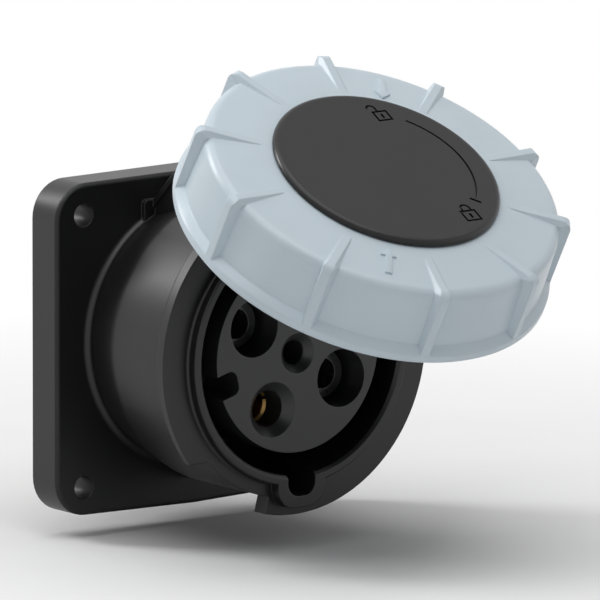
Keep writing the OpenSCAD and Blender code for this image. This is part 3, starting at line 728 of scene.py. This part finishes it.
class SOCKET_OT_ring_arrows(Operator):
    """Two flat raised arrows on the ring's front that point at the lid's axis"""

    bl_idname = "socket.ring_arrows"
    bl_label = "Ring arrows"

    def execute(self, context):
        sizes = context.scene.socket_signs
        pale = moulded(
            "arrow_grey", context.scene.socket_colours.ring, rough=0.44, grain=0.00022,
            height=0.0000015, edge_wear_and_highlight=0.0, specular=0.42, drift=0.02,
        )
        lift = Matrix.Translation((0, DISC_EDGE, RING_FRONT - ARROW_FOOT))
        lean = lift @ Matrix.Rotation(-math.atan(FRONT_SLOPE), 4, "X")
        for name, turn in (("ring_arrow_upper", 0), ("ring_arrow_lower", math.pi)):
            arrow = self.arrow(name, sizes)
            clock = Matrix.Rotation(-(sizes.arrow_clock + turn), 4, "Z")
            place = clock @ lean @ Matrix.Translation((0, -DISC_EDGE, 0))
            placed(arrow.data, LID @ place)
            only(arrow)
            bpy.ops.object.shade_smooth_by_angle(angle=ARROW_SMOOTH)
            arrow.data.materials.append(pale)
            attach(arrow, "ring")
        return {"FINISHED"}

    def arrow(self, name, sizes):
        """An arrow at 12 o'clock in the lid's frame: a flat shaft, a head extruded from its inner end, then
        both raised and bevelled."""
        long = sizes.arrow_tail - sizes.arrow_tip
        shaft_end = sizes.arrow_tail - long * ARROW_SHAFT
        bpy.ops.object.select_all(action="DESELECT")
        bpy.ops.mesh.primitive_plane_add(size=1, location=(0, sizes.arrow_tail - long * ARROW_SHAFT / 2, 0))
        arrow = added(name)
        arrow.scale = (sizes.arrow_shaft, long * ARROW_SHAFT, 1)
        bpy.ops.object.transform_apply(location=True, rotation=True, scale=True)
        bpy.ops.object.mode_set(mode="EDIT")
        bpy.ops.mesh.select_all(action="DESELECT")
        bpy.ops.object.mode_set(mode="OBJECT")
        corners = arrow.data.vertices
        for edge in arrow.data.edges:
            edge.select = all(abs(corners[corner].co.y - shaft_end) < HAIR for corner in edge.vertices)
        bpy.ops.object.mode_set(mode="EDIT")
        bpy.ops.mesh.select_mode(type="EDGE")
        bpy.ops.mesh.extrude_region_move(TRANSFORM_OT_translate={"value": (0, -HAIR, 0)})
        bpy.ops.transform.resize(
            value=(sizes.arrow_head / sizes.arrow_shaft, 1, 1), center_override=(0, shaft_end, 0)
        )
        bpy.ops.mesh.extrude_region_move(
            TRANSFORM_OT_translate={"value": (0, sizes.arrow_tip - shaft_end, 0)}
        )
        bpy.ops.transform.resize(value=(ARROW_POINT, 1, 1), center_override=(0, sizes.arrow_tip, 0))
        bpy.ops.mesh.select_all(action="SELECT")
        bpy.ops.mesh.dissolve_faces()
        bpy.ops.mesh.select_all(action="SELECT")
        bpy.ops.mesh.extrude_region_move(
            TRANSFORM_OT_translate={"value": (0, 0, sizes.arrow_rise + ARROW_FOOT)}
        )
        bpy.ops.mesh.select_all(action="SELECT")
        bpy.ops.mesh.normals_make_consistent(inside=False)
        bpy.ops.object.mode_set(mode="OBJECT")
        worked(
            arrow, "BEVEL", width=ARROW_BEVEL, segments=2,
            limit_method="ANGLE", angle_limit=ARROW_SHARP,
        )
        return arrow


class SOCKET_OT_disc(Operator):
    """Black disc, with two padlocks and the arc between them cut into its face"""

    bl_idname = "socket.disc"
    bl_label = "Disc"

    def execute(self, context):
        signs, colours = context.scene.socket_signs, context.scene.socket_colours
        disc = node_copy("lid_cap", "lid_disc")
        placed(disc.data, LID.inverted())
        face = max(vertex.co.z for vertex in disc.data.vertices)
        low, high, line = face - signs.line_depth, face + CUT_ABOVE, signs.line_width
        lines = []
        for shape in PADLOCKS:
            lines += padlock(*shape, line, low, high)
        track = signs.track_radius
        lines.append(curved_line((0, 0), track, ARC_START, ARC_END, line, low, high, ARC_STEPS))
        inner, outer = clock_point(track - TICK_INSIDE, TICK), clock_point(track + TICK_OUTSIDE, TICK)
        lines.append(straight_line(inner.xy, outer.xy, line * TICK_BROADER, low, high))
        cutter = joined("sign_lines", lines)
        worked(disc, "BOOLEAN", operation="DIFFERENCE", object=cutter, solver="EXACT", use_self=True)
        bpy.data.objects.remove(cutter)
        placed(disc.data, LID)
        smoothed(disc)
        black = moulded(
            "disc_black", shade(colours.housing, 1.5), rough=0.26, grain=0.00018, height=0.000002,
            edge_wear_and_highlight=0.3, specular=0.31, drift=0.04,
        )
        finished(disc, black, "lid_cap")
        return {"FINISHED"}


class SOCKET_OT_stage(Operator):
    """Pale floor, soft lamps and the camera at the photograph's angle"""

    bl_idname = "socket.stage"
    bl_label = "Stage"

    def execute(self, context):
        stage, scene = context.scene.socket_stage, context.scene
        self.floor()
        self.surroundings(scene, stage.sky)
        for name, (place, width, height, setting) in LAMPS.items():
            self.lamp(name, Vector(place), width, height, getattr(stage, setting))
        scene.camera = self.camera(stage)
        scene.view_settings.view_transform = "Standard"
        return {"FINISHED"}

    def camera(self, stage):
        """A camera with a long lens, because the photograph is nearly parallel."""
        round_left, above = stage.azimuth, stage.elevation
        back = Vector((
            -math.sin(round_left) * math.cos(above),
            -math.cos(round_left) * math.cos(above),
            math.sin(above),
        ))
        right = Vector((math.cos(round_left), -math.sin(round_left), 0))
        up = back.cross(right)
        distance = stage.width * stage.lens / FILM_WIDTH + VIEW_PLANE
        bpy.ops.object.select_all(action="DESELECT")
        bpy.ops.object.camera_add(location=right * stage.right + up * stage.up + back * distance)
        camera = added("photo_camera")
        camera.rotation_euler = (-back).to_track_quat("-Z", "Y").to_euler()
        camera.data.lens = stage.lens
        camera.data.clip_start, camera.data.clip_end = CLIP_NEAR, CLIP_FAR
        return camera

    def lamp(self, name, place, width, height, power):
        """A large rectangular lamp that faces the object."""
        bpy.ops.object.select_all(action="DESELECT")
        bpy.ops.object.light_add(type="AREA", location=place)
        lamp = added(name)
        lamp.rotation_euler = (MIDDLE - place).to_track_quat("-Z", "Y").to_euler()
        lamp.data.shape = "RECTANGLE"
        lamp.data.size, lamp.data.size_y = width, height
        lamp.data.energy = power

    def surroundings(self, scene, level):
        """White to the eye and in reflections, softer as light."""
        world = bpy.data.worlds.new("studio")
        scene.world = world
        world.use_nodes = True
        nodes, links = world.node_tree.nodes, world.node_tree.links
        nodes.clear()
        output = nodes.new("ShaderNodeOutputWorld")
        glow = add(nodes, "ShaderNodeBackground", (-200, 0), Color=(1, 1, 1, 1))
        seen = seen_directly(nodes, links)
        strength = ranged(nodes, links, seen, (-400, 0), low=level, high=1.0, span=(0, 1))
        links.new(strength, glow.inputs["Strength"])
        links.new(glow.outputs["Background"], output.inputs["Surface"])

    def floor(self):
        """A wide pale floor that fades into the white surroundings away from the object."""
        bpy.ops.object.select_all(action="DESELECT")
        bpy.ops.mesh.primitive_circle_add(
            vertices=FLOOR_CORNERS, radius=FLOOR_RADIUS, fill_type="NGON", location=(0, MIDDLE.y, FLOOR)
        )
        floor = added("studio_floor")
        bpy.ops.object.transform_apply(location=True, rotation=True, scale=True)
        material, nodes, links, shader = new_finish("floor_white")
        where = add(nodes, "ShaderNodeTexCoord", (-1300, 0))
        tone = noise(nodes, links, where, (-900, 0), size=FLOOR_PATCHES, detail=3.0)
        patchy = ranged(nodes, links, tone, (-600, 0), low=0, high=1)
        paint = blended(nodes, links, patchy, (-300, 0), (0.9, 0.9, 0.9), (0.92, 0.92, 0.92))
        links.new(paint, shader.inputs["Base Color"])
        shader.inputs["Roughness"].default_value = 0.9
        shader.inputs["Specular IOR Level"].default_value = 0.1
        reach = add(nodes, "ShaderNodeVectorMath", (-900, 500), operation="LENGTH")
        links.new(where.outputs["Object"], reach.inputs[0])
        fade = ranged(nodes, links, reach.outputs["Value"], (-600, 500), low=0, high=1, span=FADE)
        share = add(nodes, "ShaderNodeMath", (-100, 500), operation="MULTIPLY")
        links.new(fade, share.inputs[0])
        links.new(seen_directly(nodes, links), share.inputs[1])
        white = add(nodes, "ShaderNodeEmission", (200, 300), Color=(1, 1, 1, 1), Strength=1.0)
        mix = add(nodes, "ShaderNodeMixShader", (400, 200))
        links.new(share.outputs[0], mix.inputs[0])
        links.new(shader.outputs["BSDF"], mix.inputs[1])
        links.new(white.outputs["Emission"], mix.inputs[2])
        links.new(mix.outputs[0], nodes["Material Output"].inputs["Surface"])
        floor.data.materials.append(material)


class SOCKET_PT_panel(Panel):
    """Lists the socket's pieces in the sidebar"""

    bl_idname = "SOCKET_PT_panel"
    bl_label = "Panel Socket"
    bl_space_type = "VIEW_3D"
    bl_region_type = "UI"
    bl_category = "Panel Socket"

    def draw(self, context):
        layout = self.layout
        for operator in OPERATORS:
            layout.operator(operator.bl_idname)
        for name in GROUPS:
            settings = getattr(context.scene, name)
            box = layout.box()
            for key in settings.__annotations__:
                box.prop(settings, key)


GROUPS = {
    "socket_signs": SocketSignSizes,
    "socket_edges": SocketEdges,
    "socket_colours": SocketColours,
    "socket_stage": SocketStage,
}
OPERATORS = (
    SOCKET_OT_housing,
    SOCKET_OT_insert,
    SOCKET_OT_contacts,
    SOCKET_OT_fixings,
    SOCKET_OT_seals,
    SOCKET_OT_grip_ring,
    SOCKET_OT_ring_arrows,
    SOCKET_OT_disc,
    SOCKET_OT_stage,
)


def register():
    """Registers the settings, the operators and the panel."""
    for kind in (*GROUPS.values(), *OPERATORS, SOCKET_PT_panel):
        bpy.utils.register_class(kind)
    for name, group in GROUPS.items():
        setattr(bpy.types.Scene, name, PointerProperty(type=group))


def unregister():
    """Takes back what register added."""
    for name in GROUPS:
        delattr(bpy.types.Scene, name)
    for kind in (SOCKET_PT_panel, *reversed(OPERATORS), *reversed(GROUPS.values())):
        bpy.utils.unregister_class(kind)


def main():
    """Makes every piece in order."""
    register()
    bpy.ops.socket.housing()
    bpy.ops.socket.insert()
    bpy.ops.socket.contacts()
    bpy.ops.socket.fixings()
    bpy.ops.socket.seals()
    bpy.ops.socket.grip_ring()
    bpy.ops.socket.ring_arrows()
    bpy.ops.socket.disc()
    bpy.ops.socket.stage()


if __name__ == "__main__":
    main()
